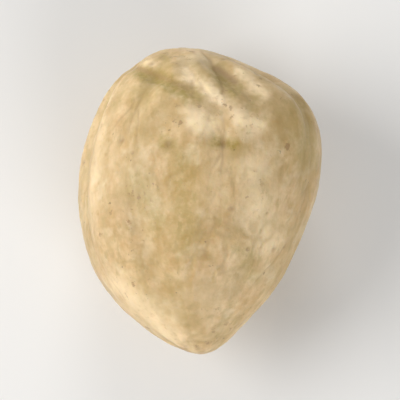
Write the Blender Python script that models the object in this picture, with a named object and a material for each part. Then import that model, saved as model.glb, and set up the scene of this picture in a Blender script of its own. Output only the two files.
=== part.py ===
"""A shelled candlenut kernel, whole and dry, lying on its flatter side.

The kernel is one piece of oily white seed flesh: a blunt ovoid, broad at its base (+Y), where the seed hung
in its shell, and drawn in to a rounded beak at its tip (-Y). It is a little flattened, so it has a domed
crown (+Z) and a flatter belly (-Z), which meet in a soft keel. Furrows pressed by the veins of the seed coat
run down from the round scar at the base. Lengths are metres, and the origin is under the kernel's middle.
"""

import math

import bmesh
import bpy
import numpy as np
from numpy.polynomial.polynomial import polyval

# Size over all, from which the body follows.
LENGTH = 0.0213
WIDTH = 0.0169
HEIGHT = 0.0138

# Body: how a plain ovoid is drawn into a kernel. Shares are of its half length, half width or height.
CROWN_SHARE = 0.56  # height of the crown above the keel
TAPER = (1.0, 0.21, -0.15)  # breadth along the kernel, as powers of the share towards the base
RISE_TAPER = 0.6  # how much of that taper the height takes
LEAN = (0.0, 0.0015, -0.0004, -0.0021)  # the same for how far the middle line lies to the right
SECTION_AT_BASE = 2.15  # exponent of the cross-section: over 2 is fuller than an ellipse
SECTION_AT_TIP = 1.85  # under 2 pinches the section to a keel
CELLS = 30  # grid cells along each side of the starting cube

# Rest spot: how much of the belly is rubbed flat where the kernel lies.
REST_CUT = 0.00028
REST_SNAP = 0.00006  # corners this near the cut are moved onto it
SETTLE_STEPS = 80
SETTLE_RATE = 3.0
SETTLE_SLOWING = 0.2

# Scar at the base: a round sunken mark with a raised rim.
SCAR_TILT = math.radians(-8)  # from the long axis towards the crown
SCAR_RADIUS = 0.0012
SCAR_DEPTH = 0.00034
SCAR_RIM = 0.00006

# Nub at the tip, over the end of the seed's root.
NUB_RADIUS = 0.0009
NUB_HEIGHT = 0.00012

# Seam round the tip, where the two halves of the flesh meet along the keel.
SEAM_DEPTH = 0.00018
SEAM_WIDTH = 0.00050
SEAM_REACH = math.radians(66)

# Furrows from the scar towards the tip: turn round the long axis from the right keel by way of the crown,
# how far it leans aside on its way, and where it ends, in degrees; depth and width in millimetres.
FURROWS = (
    (14, 9, 108, 0.20, 0.64),
    (40, -4, 96, 0.30, 0.68),
    (66, 5, 78, 0.24, 0.62),
    (94, -7, 128, 0.22, 0.68),
    (120, 5, 84, 0.28, 0.64),
    (147, 8, 118, 0.24, 0.72),
    (172, -9, 100, 0.26, 0.68),
    (205, 6, 88, 0.26, 0.72),
    (236, -6, 114, 0.30, 0.76),
    (268, 5, 78, 0.22, 0.68),
    (300, -5, 108, 0.30, 0.76),
    (331, 7, 92, 0.24, 0.68),
)
FURROW_START = math.radians(14)
FURROW_WANDER = math.radians(6)
FURROW_WAVES = 2.6
FURROW_PHASE = 2.4  # from each furrow to the next, in radians
FURROW_LIP = 0.25  # height of the lips beside a furrow, as a share of its depth

# Low swells and hollows of the whole surface.
SWELL_SEED = 12
SWELL_COUNT = 34
SWELL_HEIGHT = 0.00020
SWELL_ANGLE = (math.radians(16), math.radians(34))

# Marks on the crown, in plan. Creases: start, end, width, depth. Dimples: centre, radius, depth, and a
# negative depth stands up as a bump.
CREASES = (
    ((-0.0044, 0.0090), (-0.0004, 0.0068), 0.00052, 0.00040),
    ((0.0011, 0.0093), (0.0040, 0.0064), 0.00052, 0.00046),
    ((-0.0044, -0.0010), (-0.0026, -0.0066), 0.00070, 0.00014),
)
CREASE_FADE = -0.3  # how far below the keel the marks die out
DIMPLES = (
    ((-0.0022, 0.0038), 0.00080, 0.00018),
    ((0.0015, 0.0039), 0.00075, 0.00016),
    ((0.0070, 0.0054), 0.00260, -0.00050),
    ((0.0054, -0.0056), 0.00330, -0.00040),
    ((0.0038, 0.0096), 0.00160, 0.00014),
)

FLESH_COLOUR = (0.62, 0.45, 0.24, 1.0)
FLESH_ROUGHNESS = 0.48


def sphere_mesh(cells):
    """A gridded cube swollen to a sphere of radius 1, so that its faces are near enough the same size."""
    bm = bmesh.new()
    bmesh.ops.create_cube(bm, size=2.0)
    bmesh.ops.subdivide_edges(bm, edges=bm.edges[:], cuts=cells - 1, use_grid_fill=True)
    for vert in bm.verts:
        vert.co = [math.tan(math.pi / 4 * part) for part in vert.co]
        vert.co.normalize()
    return bm


def bell(distance, width):
    """1 at no distance, and next to nothing past twice the width."""
    return np.exp(-((distance / width) ** 2))


def ovoid(way):
    """The plain body for each direction from its middle: an egg in plan, pinched to a keel near the tip."""
    along = way[:, 1]
    taper = polyval(along, TAPER)
    power = SECTION_AT_BASE + (SECTION_AT_TIP - SECTION_AT_BASE) * (1 - along) / 2
    turn = np.arctan2(way[:, 2], way[:, 0])
    section = (np.abs(np.cos(turn)) ** power + np.abs(np.sin(turn)) ** power) ** (-1 / power)
    depth = np.where(way[:, 2] > 0, CROWN_SHARE, 1 - CROWN_SHARE) * HEIGHT
    return np.stack([
        way[:, 0] * section * taper * WIDTH / 2 + polyval(along, LEAN),
        along * LENGTH / 2,
        way[:, 2] * section * taper**RISE_TAPER * depth,
    ], axis=1)


def swells(way):
    """Broad unevenness: round bumps and hollows strewn over the whole surface."""
    draw = np.random.default_rng(SWELL_SEED)
    height = np.zeros(len(way))
    for _ in range(SWELL_COUNT):
        centre = draw.normal(size=3)
        centre /= np.linalg.norm(centre)
        angle = np.arccos(np.clip(way @ centre, -1, 1))
        height += draw.uniform(-1, 1) * SWELL_HEIGHT * bell(angle, draw.uniform(*SWELL_ANGLE))
    return height


def furrows(way, body):
    """Grooves that wander from the scar towards the tip, with a slight lip on both sides."""
    polar = np.arccos(np.clip(way[:, 1], -1, 1))
    azimuth = np.arctan2(way[:, 2], way[:, 0])
    girth = np.hypot(body[:, 0], body[:, 2])
    height = np.zeros(len(way))
    for number, (turn, lean, end, depth, width) in enumerate(FURROWS):
        line = math.radians(turn) + math.radians(lean) * polar
        line += FURROW_WANDER * np.sin(FURROW_WAVES * polar + FURROW_PHASE * number)
        aside = np.angle(np.exp(1j * (azimuth - line))) * girth / (width / 1000)
        run = np.clip((polar - FURROW_START) / (math.radians(end) - FURROW_START), 0, 1)
        lips = FURROW_LIP * bell(np.abs(aside) - 2, 1)
        height += depth / 1000 * np.sin(math.pi * run**0.7) * (lips - bell(aside, 1))
    return height


def seam(way, body):
    """The shallow line that follows the keel round the tip."""
    from_tip = np.arccos(np.clip(-way[:, 1], -1, 1))
    fade = np.clip(1 - from_tip / SEAM_REACH, 0, 1)
    return -SEAM_DEPTH * fade * bell(body[:, 2], SEAM_WIDTH)


def scar(body):
    """The round mark at the base."""
    centre = ovoid(np.array([[0, math.cos(SCAR_TILT), math.sin(SCAR_TILT)]]))
    distance = np.linalg.norm(body - centre, axis=1)
    rim = bell(distance - 1.3 * SCAR_RADIUS, 0.5 * SCAR_RADIUS)
    return SCAR_RIM * rim - SCAR_DEPTH * bell(distance, 0.8 * SCAR_RADIUS)


def nub(body):
    """The low point at the tip."""
    distance = np.linalg.norm(body - ovoid(np.array([[0, -1, 0]])), axis=1)
    return NUB_HEIGHT * bell(distance, NUB_RADIUS)


def crown_marks(way, body):
    """Creases and dimples at their places on the crown."""
    plan = body[:, :2]
    height = np.zeros(len(way))
    for start, end, width, depth in CREASES:
        run = np.subtract(end, start)
        share = np.clip((plan - start) @ run / (run @ run), 0, 1)
        aside = np.linalg.norm(plan - start - share[:, None] * run, axis=1)
        height -= depth * (1 - 0.5 * np.abs(2 * share - 1)) * bell(aside, width)
    for centre, radius, depth in DIMPLES:
        height -= depth * bell(np.linalg.norm(plan - centre, axis=1), radius)
    return height * np.clip(1 - way[:, 2] / CREASE_FADE, 0, 1)


def centre_of_mass(points, faces):
    """The middle of the volume inside a closed mesh of triangles."""
    a, b, c = points[faces[:, 0]], points[faces[:, 1]], points[faces[:, 2]]
    volume = np.einsum("ij,ij->i", a, np.cross(b, c))
    return ((a + b + c) * volume[:, None]).sum(axis=0) / (4 * volume.sum())


def settled(points, faces):
    """The points turned until the lowest is straight under the centre of mass, as the kernel comes to rest."""
    points = points - centre_of_mass(points, faces)
    down = np.array([0.0, 0.0, -1.0])
    for step in range(SETTLE_STEPS):
        lowest = points[np.argmax(points @ down)]
        pull = lowest - (lowest @ down) * down
        down = down - SETTLE_RATE / (1 + SETTLE_SLOWING * step) * pull / LENGTH
        down /= np.linalg.norm(down)
    up = -down
    right = np.cross([0.0, 1.0, 0.0], up)
    right /= np.linalg.norm(right)
    return points @ np.stack([right, np.cross(up, right), up], axis=1)


def fitted(points):
    """The points stretched to the size over all, with room below for what the rest spot takes off."""
    low, high = points.min(axis=0), points.max(axis=0)
    size = np.array([WIDTH, LENGTH, HEIGHT + REST_CUT])
    return (points - (low + high) / 2) * size / (high - low)


def rub_flat(bm):
    """Cuts the rest spot across the bottom and closes it with one flat face at z = 0."""
    lowest = min(vert.co.z for vert in bm.verts)
    for vert in bm.verts:
        vert.co.z -= lowest + REST_CUT
    bmesh.ops.bisect_plane(
        bm, geom=bm.verts[:] + bm.edges[:] + bm.faces[:], dist=REST_SNAP,
        plane_co=(0, 0, 0), plane_no=(0, 0, -1), clear_outer=True,
    )
    rim = [edge for edge in bm.edges if edge.is_boundary]
    for vert in {vert for edge in rim for vert in edge.verts}:
        vert.co.z = 0.0
    bmesh.ops.edgeloop_fill(bm, edges=rim)
    bmesh.ops.recalc_face_normals(bm, faces=bm.faces[:])


def flesh():
    """Dry, oily, cream-coloured seed flesh."""
    material = bpy.data.materials.new("kernel_flesh")
    material.use_nodes = True
    shader = material.node_tree.nodes["Principled BSDF"]
    shader.inputs["Base Color"].default_value = FLESH_COLOUR
    shader.inputs["Roughness"].default_value = FLESH_ROUGHNESS
    shader.inputs["Metallic"].default_value = 0.0
    return material


def kernel(collection):
    """The whole kernel as one solid object."""
    bm = sphere_mesh(CELLS)
    way = np.array([vert.co for vert in bm.verts])
    triangles = [[loop.vert.index for loop in corner] for corner in bm.calc_loop_triangles()]
    body = ovoid(way)
    relief = swells(way) + furrows(way, body) + crown_marks(way, body)
    relief += seam(way, body) + scar(body) + nub(body)
    points = fitted(settled(body + way * relief[:, None], np.array(triangles)))
    for vert, point in zip(bm.verts, points):
        vert.co = point
    bmesh.ops.triangulate(bm, faces=bm.faces[:], quad_method="SHORT_EDGE")
    rub_flat(bm)
    mesh = bpy.data.meshes.new("kernel")
    bm.to_mesh(mesh)
    bm.free()
    mesh.materials.append(flesh())
    mesh.shade_smooth()
    collection.objects.link(bpy.data.objects.new("kernel", mesh))


def main():
    for obj in list(bpy.data.objects):
        bpy.data.objects.remove(obj)
    collection = bpy.data.collections.new("candlenut")
    bpy.context.scene.collection.children.link(collection)
    kernel(collection)


main()
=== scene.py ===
"""A shelled candlenut kernel on a pale table, in soft studio light. Lengths are metres."""

import math

import bpy
import numpy as np
from mathutils import Euler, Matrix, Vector, noise
from numpy.polynomial.polynomial import polyval


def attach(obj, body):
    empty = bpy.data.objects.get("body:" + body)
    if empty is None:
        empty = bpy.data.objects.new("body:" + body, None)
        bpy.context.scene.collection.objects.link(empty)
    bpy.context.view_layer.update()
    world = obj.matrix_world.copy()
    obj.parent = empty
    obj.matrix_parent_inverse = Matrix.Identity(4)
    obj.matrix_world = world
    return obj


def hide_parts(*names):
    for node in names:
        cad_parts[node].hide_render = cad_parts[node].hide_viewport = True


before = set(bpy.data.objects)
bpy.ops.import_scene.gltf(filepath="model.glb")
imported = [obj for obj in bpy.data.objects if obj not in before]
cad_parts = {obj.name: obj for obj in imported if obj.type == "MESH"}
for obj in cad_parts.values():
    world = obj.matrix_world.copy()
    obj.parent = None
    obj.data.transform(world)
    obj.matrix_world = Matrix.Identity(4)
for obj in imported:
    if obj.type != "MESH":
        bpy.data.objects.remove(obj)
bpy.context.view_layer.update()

# ---------------------------------------------------------------------------------------------
# Table. A plain sheet of matt board, pale and slightly warm, which carries the kernel. It is one
# large flat plane under the flat spot the kernel lies on.

TABLE_SIZE = 1.2
TABLE_TOP = -0.00001  # a hair under the flat spot, so that the two faces don't coincide
TABLE_COLOUR = (0.84, 0.84, 0.835, 1.0)
TABLE_ROUGHNESS = 0.85
TABLE_GLOSS = 0.2

bpy.ops.object.select_all(action="DESELECT")
bpy.ops.mesh.primitive_plane_add(size=TABLE_SIZE, location=(0, 0, TABLE_TOP))
table = bpy.context.object
table.name = "table"
board = bpy.data.materials.new("matt_board")
board.use_nodes = True
board_shader = board.node_tree.nodes["Principled BSDF"]
board_shader.inputs["Base Color"].default_value = TABLE_COLOUR
board_shader.inputs["Roughness"].default_value = TABLE_ROUGHNESS
board_shader.inputs["Specular IOR Level"].default_value = TABLE_GLOSS
table.data.materials.append(board)

# ---------------------------------------------------------------------------------------------
# Camera. It looks down on the crown from just short of overhead, with the tip towards the bottom
# of the picture, through a long lens that keeps the outline free of perspective.

KERNEL_MIDDLE = Vector((0.0, 0.0, 0.0062))
CAMERA_ELEVATION = math.radians(85)
CAMERA_DISTANCE = 0.160
CAMERA_LENS = 210
CAMERA_NEAREST = 0.001

camera = bpy.data.objects.new("camera", bpy.data.cameras.new("camera"))
bpy.context.collection.objects.link(camera)
camera.data.lens = CAMERA_LENS
camera.data.clip_start = CAMERA_NEAREST
away = Vector((0, -math.cos(CAMERA_ELEVATION), math.sin(CAMERA_ELEVATION)))
camera.location = KERNEL_MIDDLE + CAMERA_DISTANCE * away
camera.rotation_euler = away.to_track_quat("Z", "Y").to_euler()
bpy.context.scene.camera = camera

# ---------------------------------------------------------------------------------------------
# Light. A large soft box at the left, weaker ones at the front right and behind to open the shadow,
# and a low even light from all round, as in a small light tent.

LIGHTS = (
    # name, place, width, watts, colour
    ("key", (-0.22, 0.02, 0.15), 0.22, 0.59, (1.0, 0.98, 0.95)),
    ("fill", (0.12, -0.21, 0.12), 0.22, 0.42, (1.0, 0.985, 0.965)),
    ("rim", (0.00, 0.26, 0.13), 0.14, 0.26, (1.0, 0.99, 0.97)),
)
TENT_COLOUR = (0.97, 0.98, 1.0, 1.0)
TENT_STRENGTH = 0.26

for name, place, width, watts, colour in LIGHTS:
    lamp = bpy.data.lights.new(name, "AREA")
    lamp.shape = "DISK"
    lamp.size = width
    lamp.energy = watts
    lamp.color = colour
    lamp_object = bpy.data.objects.new(name, lamp)
    bpy.context.collection.objects.link(lamp_object)
    lamp_object.location = place
    lamp_object.rotation_euler = (Vector(place) - KERNEL_MIDDLE).to_track_quat("Z", "Y").to_euler()

tent = bpy.data.worlds.new("tent")
tent.use_nodes = True
tent.node_tree.nodes["Background"].inputs["Color"].default_value = TENT_COLOUR
tent.node_tree.nodes["Background"].inputs["Strength"].default_value = TENT_STRENGTH
bpy.context.scene.world = tent
bpy.context.scene.view_settings.view_transform = "Standard"

# ---------------------------------------------------------------------------------------------
# Kernel, its form. One piece of dry oily seed flesh, as it comes out of its shell. It starts from
# the solid's own surface, rounded between that surface's facets and given even, fine faces, and the
# marks of its growth are then pressed into it.

MERGE = 1e-6
QUAD_ANGLE = math.radians(60)
ROUNDING = 2
FACE = 0.000119
SMOOTHING, SMOOTHING_ROUNDS = 0.5, 6

bpy.ops.object.select_all(action="DESELECT")
kernel = bpy.data.objects.new("kernel_flesh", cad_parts["kernel"].data.copy())
bpy.context.collection.objects.link(kernel)
kernel.select_set(True)
bpy.context.view_layer.objects.active = kernel
bpy.ops.object.mode_set(mode="EDIT")
bpy.ops.mesh.select_all(action="SELECT")
bpy.ops.mesh.remove_doubles(threshold=MERGE)
bpy.ops.mesh.tris_convert_to_quads(face_threshold=QUAD_ANGLE, shape_threshold=QUAD_ANGLE)
bpy.ops.object.mode_set(mode="OBJECT")
rounded = kernel.modifiers.new("rounded", "SUBSURF")
rounded.levels = rounded.render_levels = ROUNDING
even = kernel.modifiers.new("even", "REMESH")
even.mode = "VOXEL"
even.voxel_size = FACE
smoothed = kernel.modifiers.new("smoothed", "SMOOTH")
smoothed.factor = SMOOTHING
smoothed.iterations = SMOOTHING_ROUNDS
for modifier in list(kernel.modifiers):
    bpy.ops.object.modifier_apply(modifier=modifier.name)
bpy.ops.object.shade_smooth()

# Its own frame: how the kernel is turned as it lies, and the ovoid that its surface follows. From these
# each point gets an angle from the base and a turn round the long axis, by which the marks are placed.

LENGTH, WIDTH = 0.02125, 0.0165
CROWN, BELLY = 0.00775, 0.0061  # how high the crown is over the keel, and how deep the belly under it
TAPER = (1.0, 0.21, -0.15)  # breadth along the kernel, as powers of the share towards the base
LEAN = (0.0, 0.0015, -0.0004, -0.0021)  # the same for how far the middle line lies to the right
RISE_TAPER = 0.6  # how much of that taper the height takes
OWN_MIDDLE = (-0.00023, 0.00001, 0.00574)
OWN_TURN = Euler((math.radians(-2.0), math.radians(-2.0), 0)).to_matrix()

count = len(kernel.data.vertices)
points = np.empty(count * 3)
kernel.data.vertices.foreach_get("co", points)
points = points.reshape(-1, 3)
normals = np.empty(count * 3)
kernel.data.vertices.foreach_get("normal", normals)
normals = normals.reshape(-1, 3)
own = (points - OWN_MIDDLE) @ np.array(OWN_TURN)
along = np.clip(own[:, 1] / (LENGTH / 2), -1, 1)
taper = polyval(along, TAPER)
across = own[:, 0] - polyval(along, LEAN)
half_height = np.where(own[:, 2] > 0, CROWN, BELLY) * taper**RISE_TAPER
polar = np.arccos(along)
azimuth = np.arctan2(own[:, 2] / half_height, across / (WIDTH / 2 * taper))
girth = np.hypot(across, own[:, 2])


def bell(distance, width):
    """1 at no distance, and next to nothing past twice the width."""
    return np.exp(-((distance / width) ** 2))


def ease(value, low, high):
    """From 0 at the low value to 1 at the high one, with soft ends."""
    share = np.clip((value - low) / (high - low), 0, 1)
    return share * share * (3 - 2 * share)


def sampled(function, size, shift, places=own):
    """A noise function's value at each place, with lumps of about this size."""
    return np.array([function(Vector(place)) for place in places / size + shift])


def waver(layers, places=own):
    """Noise of several sizes added up. Each layer is its strength, its size and its shift."""
    return sum(strength * sampled(noise.noise, size, shift, places) for strength, size, shift in layers)


def patchy(size, shift, low, high, places=own):
    """Patches of this size that rise from 0 to 1 as the noise goes from the low value to the high one."""
    return ease(sampled(noise.noise, size, shift, places), low, high)


def aside_of(line):
    """How far each point is from a line down the kernel that is given as a turn for each point."""
    return np.angle(np.exp(1j * (azimuth - line))) * girth


def round_axis(angle, turns, run):
    """Places for noise that is drawn out along the run, with about this many lumps in each radian."""
    return np.stack([turns * np.cos(angle), turns * np.sin(angle), run], axis=1)


# Furrows and creases. They are in the solid already, and are found again here for what lies in them.

FURROWS = (
    # turn, lean, end in degrees, then depth and width in millimetres
    (14, 9, 108, 0.20, 0.64),
    (40, -4, 96, 0.30, 0.68),
    (66, 5, 78, 0.24, 0.62),
    (94, -7, 128, 0.22, 0.68),
    (120, 5, 84, 0.28, 0.64),
    (147, 8, 118, 0.24, 0.72),
    (172, -9, 100, 0.26, 0.68),
    (205, 6, 88, 0.26, 0.72),
    (236, -6, 114, 0.30, 0.76),
    (268, 5, 78, 0.22, 0.68),
    (300, -5, 108, 0.30, 0.76),
    (331, 7, 92, 0.24, 0.68),
)
MILLIMETRE = 0.001
FURROW_START = math.radians(14)
FURROW_WANDER = math.radians(6)
FURROW_WAVES, FURROW_PHASE = 2.6, 2.4
FURROW_SKEW = 0.7  # under 1 sets the deepest place nearer the base
DEEPEST_FURROW = 0.30
CREASES = (
    # start, end, width, and how dark
    ((-0.0044, 0.0090), (-0.0004, 0.0068), 0.00022, 0.7),
    ((0.0015, 0.0086), (0.0027, 0.0074), 0.00026, 1.0),
    ((-0.0044, -0.0010), (-0.0026, -0.0066), 0.00050, 0.3),
)
STAINS_AND_SHADE = (
    # where the coat left its colour, with painted shade down the right flank and a darker patch left of the
    # middle: start, end, width, strength
    ((-0.0041, 0.0087), (-0.0006, 0.0070), 0.00056, 1.0),
    ((-0.0030, 0.0083), (-0.0018, 0.0078), 0.00058, 1.0),
    ((-0.0044, 0.0071), (-0.0024, 0.0071), 0.00070, 0.35),
    ((-0.0024, 0.0097), (-0.0021, 0.0092), 0.00045, 0.5),
    ((0.0011, 0.0086), (0.0022, 0.0074), 0.00056, 1.0),
    ((0.0036, 0.0068), (0.0036, 0.0062), 0.00038, 0.4),
    ((-0.0022, 0.0037), (-0.0020, 0.0037), 0.00048, 1.0),
    ((0.0010, 0.0038), (0.0022, 0.0037), 0.00042, 0.9),
    # painted shade: darkens the right flank as a shadow would
    ((0.0068, 0.0062), (0.0072, 0.0030), 0.00110, 0.6),
    ((-0.0012, 0.0026), (-0.0010, -0.0030), 0.00110, 0.5),
    ((0.0026, -0.0030), (0.0034, -0.0050), 0.00060, 0.5),
    # a darker patch left of the middle of the crown
    ((-0.0040, 0.0010), (-0.0029, -0.0014), 0.00110, 0.5),
)
RUBS_AND_HIGHLIGHTS = (
    # where the flesh was rubbed pale, with painted highlight on the left rim and in the head of a groove and
    # a paler band down the middle, given in the same way
    ((-0.0009, 0.0086), (0.0014, 0.0065), 0.00048, 1.0),
    ((-0.0037, 0.0094), (-0.0032, 0.0093), 0.00042, 0.8),
    # painted highlight: lightens the shade in the head of the groove
    ((0.0000, 0.0100), (0.0009, 0.0094), 0.00042, 0.3),
    ((0.0027, 0.0087), (0.0042, 0.0071), 0.00042, 0.8),
    ((-0.0004, 0.0054), (0.0006, 0.0050), 0.00080, 1.0),
    ((0.0026, 0.0055), (0.0038, 0.0050), 0.00065, 1.0),
    ((0.0034, 0.0022), (0.0044, -0.0028), 0.00095, 0.7),
    # a paler band down the middle of the crown
    ((0.0012, 0.0050), (0.0011, 0.0002), 0.00080, 0.4),
    # painted highlight: the left rim lighter, as if lit from the left
    ((-0.0069, 0.0050), (-0.0074, -0.0010), 0.00090, 0.4),
    ((-0.0056, -0.0056), (-0.0018, -0.0094), 0.00095, 0.6),
)
STROKE_EDGE = ((0.00030, 0.0008, 200), (0.00015, 0.0003, 204))
STROKE_SLOPE = (0.05, 0.45)  # how upright the normals are where a stroke fades out over the steep sides
PLAN_TILT = math.radians(5)

lines = []
hollow = np.zeros(count)
for number, (turn, lean, end, depth, width) in enumerate(FURROWS):
    line = math.radians(turn) + math.radians(lean) * polar
    line = line + FURROW_WANDER * np.sin(FURROW_WAVES * polar + FURROW_PHASE * number)
    lines.append(line)
    run = np.clip((polar - FURROW_START) / (math.radians(end) - FURROW_START), 0, 1)
    floor = depth / DEEPEST_FURROW * np.sin(math.pi * run**FURROW_SKEW)
    hollow = np.maximum(hollow, floor * bell(aside_of(line), width * MILLIMETRE))


def strokes(table, places, wavering=0.0):
    """The strength at each point of the strokes in a table, which lie on the crown and are given in plan."""
    strength = np.zeros(count)
    upright = ease(normals[:, 2], *STROKE_SLOPE)
    for start, end, width, most in table:
        run = np.subtract(end, start)
        share = np.clip((places - start) @ run / (run @ run), 0, 1)
        aside = np.linalg.norm(places - start - share[:, None] * run, axis=1)
        stroke = most * bell(np.maximum(aside + wavering, 0), width)
        strength = np.maximum(strength, np.where(own[:, 2] > 0, stroke * upright, 0))
    return strength


# The stains and rubs, with the painted shade and painted highlight among them, are given in a plan
# that is seen a little off the vertical, as the camera sees it.
lift = points[:, 2] - KERNEL_MIDDLE.z
plan = np.stack([points[:, 0], points[:, 1] * math.cos(PLAN_TILT) + lift * math.sin(PLAN_TILT)], axis=1)
stroke_edge = waver(STROKE_EDGE)
crease = strokes(CREASES, own[:, :2])
# coat stains with painted shade, then rubs with painted highlight
stain_and_shade = strokes(STAINS_AND_SHADE, plan, stroke_edge)
rub_and_highlight = strokes(RUBS_AND_HIGHLIGHTS, plan, -stroke_edge)

# Veins of the seed coat. They come out of the scar, keep to the furrows and branch towards the tip, and
# each has left a faint groove that comes and goes.

VEIN_SEED = 3
VEIN_START, VEIN_RISE = math.radians(13), 0.15
VEIN_PAST_FURROW, VEIN_FADE = 0.5, 0.9  # radians along the kernel, as are the rise and the fade
VEIN_WIDTH = 0.00013
VEIN_DEPTH = 0.000045
VEIN_STRENGTH = (0.5, 1.0)
VEIN_WIGGLE = ((0.00024, 0.0016, 0), (0.00012, 0.0006, 9))
VEIN_LEFT = 0.3  # what is left of a vein where it is faint
VEIN_PATCHES = (0.0030, 63, -0.2, 0.3)
BRANCHES = 4
BRANCH_FIRST, BRANCH_LAST = 0.45, 0.8  # the last as a share of where the vein stops
BRANCH_SPREAD = (0.25, 0.5)
BRANCH_CURVE = 0.8
BRANCH_LENGTH = (0.35, 0.8)
BRANCH_STRENGTH = (0.3, 0.7)
BRANCH_RISE = 0.05
BRANCH_WHOLE = 0.3  # the share of a branch before it starts to fade
BRANCH_WIDTH = 0.8 * VEIN_WIDTH

wiggle = waver(VEIN_WIGGLE)
draw = np.random.default_rng(VEIN_SEED)
vein = np.zeros(count)
for (turn, lean, end, depth, width), line in zip(FURROWS, lines):
    stop = math.radians(end) + VEIN_PAST_FURROW
    reach = ease(polar, VEIN_START, VEIN_START + VEIN_RISE) * (1 - ease(polar, stop - VEIN_FADE, stop))
    vein = np.maximum(vein, draw.uniform(*VEIN_STRENGTH) * reach * bell(aside_of(line) + wiggle, VEIN_WIDTH))
    for branch in range(BRANCHES):
        start = draw.uniform(BRANCH_FIRST, BRANCH_LAST * stop)
        side = draw.choice((-1, 1))
        spread = draw.uniform(*BRANCH_SPREAD)
        length = draw.uniform(*BRANCH_LENGTH)
        strength = draw.uniform(*BRANCH_STRENGTH)
        off = side * spread * np.maximum(polar - start, 0) ** BRANCH_CURVE
        reach = strength * ease(polar, start, start + BRANCH_RISE)
        reach *= 1 - ease(polar, start + BRANCH_WHOLE * length, start + length)
        vein = np.maximum(vein, reach * bell(aside_of(line + off) + wiggle, BRANCH_WIDTH))
vein *= VEIN_LEFT + (1 - VEIN_LEFT) * patchy(*VEIN_PATCHES)

# Striae: the fine lines of the flesh itself, which all run from the scar to the tip.

STRIA_TURNS = 7.0
STRIA_LENGTH = 1.1
STRIA_DEPTH = 0.000014
STRIA_LAYERS = ((1.0, 1.0, 5), (0.5, 0.45, 15))
STRIA_ENDS = (0.1, 0.5)  # they fade in as the kernel widens between these shares

stria = waver(STRIA_LAYERS, round_axis(azimuth, STRIA_TURNS, polar / STRIA_LENGTH))
stria *= ease(np.sin(polar), *STRIA_ENDS)

# Wrinkles. As the seed dried, its skin drew into a loose net of shallow lines, strong in some places and
# missing in others.

WRINKLE_CELL = np.array((0.0017, 0.0030, 0.0017))
WRINKLE_BEND, WRINKLE_BEND_SIZE = 0.0007, 0.0014
WRINKLE_BEND_SHIFTS = (3, 17, 31)
WRINKLE_EDGE = 0.30
WRINKLE_DEPTH = 0.000045
WRINKLE_PATCHES = (0.0040, 50, -0.15, 0.45)


def cell_edge(place):
    """How far a place is from the nearest border between two cells."""
    distances = noise.voronoi(place)[0]
    return distances[1] - distances[0]


bend = [sampled(noise.noise, WRINKLE_BEND_SIZE, shift) for shift in WRINKLE_BEND_SHIFTS]
edge = sampled(cell_edge, WRINKLE_CELL, 0, own + WRINKLE_BEND * np.stack(bend, axis=1))
wrinkle = (1 - ease(edge, 0, WRINKLE_EDGE)) * patchy(*WRINKLE_PATCHES)

# Pits and pores, left where the coat stuck and tore away, and scuffs where the flesh was rubbed or nicked.

PIT_SEED = 21
PITS = 22
PIT_RADIUS = (0.00010, 0.00024)
PIT_DEPTH = 0.00006
CROWN_PITS = (
    # x and y in the plan, then radius
    (-0.0021, 0.0037, 0.00028),
    (0.0015, 0.0037, 0.00030),
    (0.0021, -0.0006, 0.00022),
)
SCUFF_SEED = 8
SCUFFS = 15
SCUFF_RADIUS = (0.0005, 0.0013)
SCUFF_STRENGTH = (0.3, 1.0)
SCUFF_DEPTH = 0.00005
SCUFF_STRETCH = 0.5  # a scuff is this much shorter across than along
SCUFF_EDGE = ((0.9, 0.0009, 40), (0.5, 0.0004, 44))
SCUFF_FADE = (0.3, 1.0)
SCUFF_FLOOR = 0.7  # how deep its middle lies, before the raggedness is added

draw = np.random.default_rng(PIT_SEED)
pit = np.zeros(count)
for number in range(PITS):
    centre = points[draw.integers(count)]
    pit = np.maximum(pit, bell(np.linalg.norm(points - centre, axis=1), draw.uniform(*PIT_RADIUS)))
for x, y, radius in CROWN_PITS:
    aside = np.hypot(plan[:, 0] - x, plan[:, 1] - y)
    pit = np.maximum(pit, np.where(own[:, 2] > 0, bell(aside, radius), 0))
draw = np.random.default_rng(SCUFF_SEED)
ragged = waver(SCUFF_EDGE)
scuff = np.zeros(count)
for number in range(SCUFFS):
    centre = points[draw.integers(count)]
    long = draw.normal(size=3)
    long /= np.linalg.norm(long)
    away = points - centre
    away += np.outer(away @ long, long) * (SCUFF_STRETCH - 1)
    far = np.linalg.norm(away, axis=1) / draw.uniform(*SCUFF_RADIUS)
    scuff = np.maximum(scuff, draw.uniform(*SCUFF_STRENGTH) * (1 - ease(far + ragged, *SCUFF_FADE)))

# Scar, where the seed hung: an oval brown floor, rough, with a small pore in it and scraps of the coat along
# its torn edge, a stain that fades out round it, and short folds in the flesh about it.

SCAR_PLACE = (-0.00111, 0.01015, 0.00442)
SCAR_RADIUS = 0.00105
SCAR_STRETCH = 0.72  # the scar is this much shorter up and down than across
SCAR_FADE = (0.45 * SCAR_RADIUS, 1.15 * SCAR_RADIUS)
SCAR_EDGE = ((0.00034, 0.0008, 150), (0.00022, 0.0003, 154))
SCAR_FLOOR = ((0.00007, 0.00035, 130),)
SCAR_DEPTH = 0.00005
RING_RADIUS, RING_WIDTH = 0.85 * SCAR_RADIUS, 0.16 * SCAR_RADIUS
RING_PATCHES = (0.0009, 158, -0.1, 0.3)
STAIN_RADIUS = 0.0021
PORE_PLACE = (-0.00091, 0.01015, 0.00412)
PORE_RADIUS = 0.00018
PORE_DEPTH = 0.00012
FOLD_TURNS, FOLD_RUN = 2.6, 0.0020
FOLD_PATCHES = (1.0, 160, -0.05, 0.45)
FOLD_START = (0.8 * SCAR_RADIUS, 1.2 * SCAR_RADIUS)
FOLD_END = (SCAR_RADIUS, SCAR_RADIUS + 0.0022)
FOLD_DEPTH = 0.00006

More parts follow.
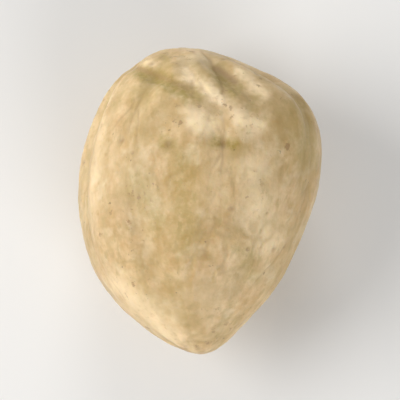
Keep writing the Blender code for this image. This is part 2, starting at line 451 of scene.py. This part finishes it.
from_scar = points - SCAR_PLACE
scar_turn = np.arctan2(from_scar[:, 2], from_scar[:, 0])
from_scar = np.linalg.norm(from_scar * (SCAR_STRETCH, 1, 1), axis=1)
torn = from_scar + waver(SCAR_EDGE)
scar = 1 - ease(torn, *SCAR_FADE)
scar_ring = bell(torn - RING_RADIUS, RING_WIDTH) * patchy(*RING_PATCHES)
scar_stain = bell(torn, STAIN_RADIUS)
pore = bell(np.linalg.norm(points - PORE_PLACE, axis=1), PORE_RADIUS)
fold = patchy(*FOLD_PATCHES, round_axis(scar_turn, FOLD_TURNS, from_scar / FOLD_RUN))
fold *= ease(from_scar, *FOLD_START) * (1 - ease(from_scar, *FOLD_END))

# Tip and seam. The flesh gathers towards the tip in short folds, round the brown point where the root would
# come out, and the seam between the two halves of the seed shows there as a line that comes and goes.

SEAM_WIDTH = 0.00009
SEAM_DEPTH = 0.00007
SEAM_FADE = (math.radians(128), math.radians(128) + 0.6)
SEAM_WAVE = ((0.00022, 0.0020, 70), (0.00006, 0.0006, 72))
SEAM_LEFT = 0.15
SEAM_PATCHES = (0.0021, 75, -0.20, 0.20)
TIP_FADE = (math.radians(150), math.radians(176))
TIP_PLACE = (-0.00004, -0.0106, 0.00612)
TIP_POINT = 0.00026
TIP_DEPTH = 0.00010
TIP_EDGE = ((0.00016, 0.0005, 180),)
GATHER_TURNS = 2.2
GATHER_PATCHES = (1.0, 170, 0.0, 0.40)
GATHER_START = (math.radians(138), math.radians(160))
GATHER_END = (math.radians(168), math.radians(179))
GATHER_DEPTH = 0.00009

seam = bell(own[:, 2] + waver(SEAM_WAVE), SEAM_WIDTH) * ease(polar, *SEAM_FADE)
seam *= SEAM_LEFT + (1 - SEAM_LEFT) * patchy(*SEAM_PATCHES)
tip = ease(polar, *TIP_FADE)
from_tip = np.linalg.norm(points - TIP_PLACE, axis=1) + waver(TIP_EDGE)
tip_point = bell(np.maximum(from_tip, 0), TIP_POINT)
gather = patchy(*GATHER_PATCHES, round_axis(azimuth, GATHER_TURNS, polar))
gather *= ease(polar, *GATHER_START) * (1 - ease(polar, *GATHER_END))

# Fine grain and low swells of the flesh, and the relief that all of this makes. Each point moves along its
# own normal, and the flat spot that the kernel lies on stays flat.

SWELL_SIZE, SWELL_DEPTH = 0.0030, 0.00006
GRAIN_SIZE, GRAIN_DEPTH = 0.0007, 0.000020
GRAIN_SHIFT, SWELL_SHIFT = 90, 110
GRAIN_FRACTAL = (0.6, 2.0, 4)  # how fast its layers weaken, how much finer each is, and how many there are
SWELL_FRACTAL = (0.8, 2.0, 2)
TOP_SLOPE = (0.75, 0.97)  # how upright the normals are over the rubbed top of the crown
WORN = 0.00014  # how much shallower the deepest furrow is there
WORN_COLOUR = 0.7  # and how much of a furrow's colour is gone
PROUD = 0.00006  # what every point gives up, so that nothing stands past the solid
FLAT_EDGE = 0.00025  # the relief comes up over this height from the flat spot

grain = sampled(lambda place: noise.fractal(place, *GRAIN_FRACTAL), GRAIN_SIZE, GRAIN_SHIFT)
swell = sampled(lambda place: noise.fractal(place, *SWELL_FRACTAL), SWELL_SIZE, SWELL_SHIFT)
relief = SWELL_DEPTH * swell + GRAIN_DEPTH * grain + STRIA_DEPTH * stria - PROUD
relief -= VEIN_DEPTH * vein + WRINKLE_DEPTH * wrinkle + PIT_DEPTH * pit + SEAM_DEPTH * seam
relief -= SCUFF_DEPTH * scuff * (SCUFF_FLOOR + ragged)
top = ease(normals[:, 2], *TOP_SLOPE)
relief += WORN * top * hollow
hollow *= 1 - WORN_COLOUR * top
relief += scar * (waver(SCAR_FLOOR) - SCAR_DEPTH)
relief -= PORE_DEPTH * pore + FOLD_DEPTH * fold + GATHER_DEPTH * gather + TIP_DEPTH * tip_point
points = points + normals * (relief * ease(points[:, 2], 0, FLAT_EDGE))[:, None]
points[:, 2] = np.maximum(points[:, 2], 0)
kernel.data.vertices.foreach_set("co", points.ravel())
marks = {
    "hollow": hollow, "crease": crease, "stain_and_shade": stain_and_shade, "rub_and_highlight": rub_and_highlight, "vein": vein, "stria": stria,
    "wrinkle": wrinkle, "pit": pit, "scuff": scuff, "scar": scar, "scar_ring": scar_ring,
    "scar_stain": scar_stain, "pore": pore, "fold": fold, "seam": seam, "tip": tip,
    "tip_point": tip_point, "gather": gather, "swell": swell,
}
for name, values in marks.items():
    attribute = kernel.data.attributes.new(name, "FLOAT", "POINT")
    attribute.data.foreach_set("value", values.astype(np.float32))
kernel.data.update()
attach(kernel, "root")
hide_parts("kernel")

# ---------------------------------------------------------------------------------------------
# Kernel, its finish. Dry oily flesh is cream to straw, with a waxy sheen, and lets a little light
# through. It is darker and browner in the veins and hollows, and rubbed pale where it stands proud.
# Painted highlight lightens its left rim, and painted shade darkens its right flank.


class Value:
    """A socket of the finish, so that maths on it is written as an expression."""

    def __init__(self, socket):
        self.socket = socket

    def __add__(self, other):
        return add("ShaderNodeMath", {0: self, 1: other}, operation="ADD")

    def __sub__(self, other):
        return add("ShaderNodeMath", {0: self, 1: other}, operation="SUBTRACT")

    def __rsub__(self, other):
        return add("ShaderNodeMath", {0: other, 1: self}, operation="SUBTRACT")

    def __mul__(self, other):
        return add("ShaderNodeMath", {0: self, 1: other}, operation="MULTIPLY")

    __radd__ = __add__
    __rmul__ = __mul__


def add(kind, sockets, output=0, **settings):
    """A node of this kind with its settings made first, then its sockets filled or linked."""
    made = flesh.node_tree.nodes.new(kind)
    for name, value in settings.items():
        setattr(made, name, value)
    for name, value in sockets.items():
        if isinstance(value, Value):
            flesh.node_tree.links.new(value.socket, made.inputs[name])
        else:
            made.inputs[name].default_value = value
    return Value(made.outputs[output])


def mark(name):
    """One of the marks that were pressed into the flesh, from 0 to 1."""
    return add("ShaderNodeAttribute", {}, "Fac", attribute_name=name)


def between(value, low, high):
    """From 0 at the low value to 1 at the high one, with soft ends."""
    return add("ShaderNodeMapRange", {"Value": value, "From Min": low, "From Max": high},
               interpolation_type="SMOOTHSTEP")


def cloud(size, detail, roughness, place=None):
    """Noise with lumps of this size in millimetres."""
    return add("ShaderNodeTexNoise", {"Vector": place or millimetres, "Scale": 1 / size, "Detail": detail,
                                      "Roughness": roughness})


def patches(size, detail, roughness, low, high, place=None):
    """Patches of this size in millimetres, which come up where the noise is between the two values."""
    return between(cloud(size, detail, roughness, place), low, high)


def blend(share, first, second):
    """From the first colour to the second."""
    return add("ShaderNodeMix", {0: share, 6: first, 7: second}, 2, data_type="RGBA")


STRAW = (0.575, 0.375, 0.160, 1.0)
CREAM = (0.800, 0.605, 0.350, 1.0)
IVORY = (0.850, 0.700, 0.460, 1.0)
PALE = (0.980, 0.780, 0.490, 1.0)
MOSS = (0.390, 0.287, 0.068, 1.0)
OLIVE = (0.410, 0.290, 0.105, 1.0)
TAN = (0.330, 0.195, 0.085, 1.0)
UMBER = (0.115, 0.060, 0.027, 1.0)
ALONG_KERNEL = (1.0, 0.42, 1.0)  # draws the streaks out from base to tip

flesh = bpy.data.materials.new("kernel_flesh")
flesh.use_nodes = True
shader = flesh.node_tree.nodes["Principled BSDF"]
object_place = add("ShaderNodeTexCoord", {}, "Object")
millimetres = add("ShaderNodeVectorMath", {0: object_place, "Scale": 1 / MILLIMETRE}, operation="SCALE")
lengthwise = add("ShaderNodeVectorMath", {0: millimetres, 1: ALONG_KERNEL}, operation="MULTIPLY")

# The flesh itself: straw and cream in broad tones, mottles and streaks, clouded with olive and ivory.
# Patches are given by their size in millimetres, detail and roughness, and the two values they rise between.
TONES, TONE_SHARE = (5.0, 2.0, 0.5, 0.36, 0.64), 0.30
MOTTLES, MOTTLE_SHARE = (1.0, 4.0, 0.6, 0.34, 0.66), 0.35
STREAKS, STREAK_SHARE = (0.75, 3.0, 0.55, 0.38, 0.62), 0.35
OLIVE_STREAKS, OLIVE_STREAK_SHARE = (0.60, 3.0, 0.5, 0.54, 0.68), 0.40
STRIA_RANGE, STRIA_SHARE = (-0.1, 0.7), 0.30
IVORY_CLOUDS, IVORY_SHARE = (2.1, 3.0, 0.6, 0.52, 0.70), 0.50
OLIVE_FLECKS, OLIVE_FLECK_SHARE = (0.34, 3.0, 0.6, 0.42, 0.70), 0.20
DIP_RANGE, DIP_SHARE = (0.1, -0.5), 0.35

mottle = patches(*MOTTLES)
cream = patches(*TONES) * TONE_SHARE + mottle * MOTTLE_SHARE + patches(*STREAKS, lengthwise) * STREAK_SHARE
colour = blend(cream, STRAW, CREAM)
colour = blend(patches(*OLIVE_STREAKS, lengthwise) * OLIVE_STREAK_SHARE, colour, OLIVE)
colour = blend(between(mark("stria"), *STRIA_RANGE) * STRIA_SHARE, colour, OLIVE)
colour = blend(patches(*IVORY_CLOUDS) * IVORY_SHARE, colour, IVORY)
colour = blend(patches(*OLIVE_FLECKS) * OLIVE_FLECK_SHARE, colour, OLIVE)
colour = blend(between(mark("swell"), *DIP_RANGE) * DIP_SHARE, colour, OLIVE)

# What the marks do to it, from the lowest layer to the top one. Where a mark's colour also comes in patches,
# they are given by the share that they add and then as above.
MARK_TINTS = (
    # mark, the share of its colour all over, its patches, its colour
    ("hollow", 0.50, None, OLIVE),
    # the rubs, with the painted highlight on the left rim and in the groove, in pale
    ("rub_and_highlight", 0.0, (1.0, 0.5, 3.0, 0.5, 0.12, 0.46), PALE),
    # the stains, with the painted shade on the right flank, in moss
    ("stain_and_shade", 0.60, (0.40, 0.4, 4.0, 0.6, 0.40, 0.58), MOSS),
    ("crease", 0.70, None, TAN),
    ("scuff", 0.0, (0.80, 0.5, 3.0, 0.5, 0.25, 0.60), IVORY),
    ("wrinkle", 0.32, None, OLIVE),
    ("vein", 0.55, None, TAN),
    ("pit", 0.58, None, TAN),
    ("tip", 0.0, (0.50, 0.8, 3.0, 0.5, 0.42, 0.62), TAN),
    ("gather", 0.40, None, OLIVE),
    ("tip_point", 0.45, (0.40, 0.25, 3.0, 0.5, 0.40, 0.60), UMBER),
    ("seam", 0.55, None, TAN),
    ("fold", 0.40, None, OLIVE),
    ("scar_stain", 0.0, (0.45, 0.9, 4.0, 0.6, 0.34, 0.66), OLIVE),
    ("scar", 0.30, (0.50, 0.45, 4.0, 0.6, 0.36, 0.62), TAN),
    ("scar", 0.0, (0.40, 0.30, 4.0, 0.6, 0.52, 0.68), UMBER),
    ("scar_ring", 0.0, (0.55, 0.35, 3.0, 0.6, 0.36, 0.60), UMBER),
    ("pore", 0.80, None, UMBER),
)
for name, share, in_patches, tint in MARK_TINTS:
    if in_patches:
        added, *patch = in_patches
        share = share + patches(*patch) * added
    colour = blend(mark(name) * share, colour, tint)

# Scraps of the thin brown coat that still cling to it, and small dark specks. Both lie in a few places only,
# and those places are the second patches.
SCRAPS, SCRAP_PLACES, SCRAP_SHARE = (0.6, 4.0, 0.65, 0.60, 0.66), (3.1, 2.0, 0.5, 0.50, 0.62), 0.62
SPECKS, SPECK_PLACES, SPECK_SHARE = (0.26, 1.0, 0.4, 0.72, 0.78), (1.9, 2.0, 0.5, 0.46, 0.62), 0.45

specks = patches(*SPECKS) * patches(*SPECK_PLACES)
colour = blend(patches(*SCRAPS) * patches(*SCRAP_PLACES) * SCRAP_SHARE, colour, TAN)
colour = blend(specks * SPECK_SHARE, colour, UMBER)
flesh.node_tree.links.new(colour.socket, shader.inputs["Base Color"])

# Its sheen, its finest grain, and the light that it lets through.
WAXY, MOTTLE_ROUGHNESS = 0.37, 0.12
ROUGHER = (("vein", 0.15), ("scar", 0.20), ("scuff", 0.20))
FINEST_GRAIN, FINEST_SHARE = (0.16, 4.0, 0.65), 0.5
FINE_GRAIN = (0.45, 3.0, 0.6)
SPECK_DEPTH = 0.6  # as a share of the grain's height
GRAIN_STRENGTH, GRAIN_HEIGHT = 0.5, 0.00006
FLESH_IOR = 1.47
LIGHT_THROUGH = 0.3
LIGHT_REACH, LIGHT_REACH_SCALE = (1.0, 0.55, 0.25), 0.0008

roughness = WAXY + mottle * MOTTLE_ROUGHNESS
for name, most in ROUGHER:
    roughness = roughness + mark(name) * most
flesh.node_tree.links.new(roughness.socket, shader.inputs["Roughness"])
height = cloud(*FINEST_GRAIN) * FINEST_SHARE + cloud(*FINE_GRAIN) - specks * SPECK_DEPTH
bump = add("ShaderNodeBump", {"Height": height, "Strength": GRAIN_STRENGTH, "Distance": GRAIN_HEIGHT})
flesh.node_tree.links.new(bump.socket, shader.inputs["Normal"])
shader.inputs["IOR"].default_value = FLESH_IOR
shader.inputs["Subsurface Weight"].default_value = LIGHT_THROUGH
shader.inputs["Subsurface Radius"].default_value = LIGHT_REACH
shader.inputs["Subsurface Scale"].default_value = LIGHT_REACH_SCALE
kernel.data.materials.clear()
kernel.data.materials.append(flesh)
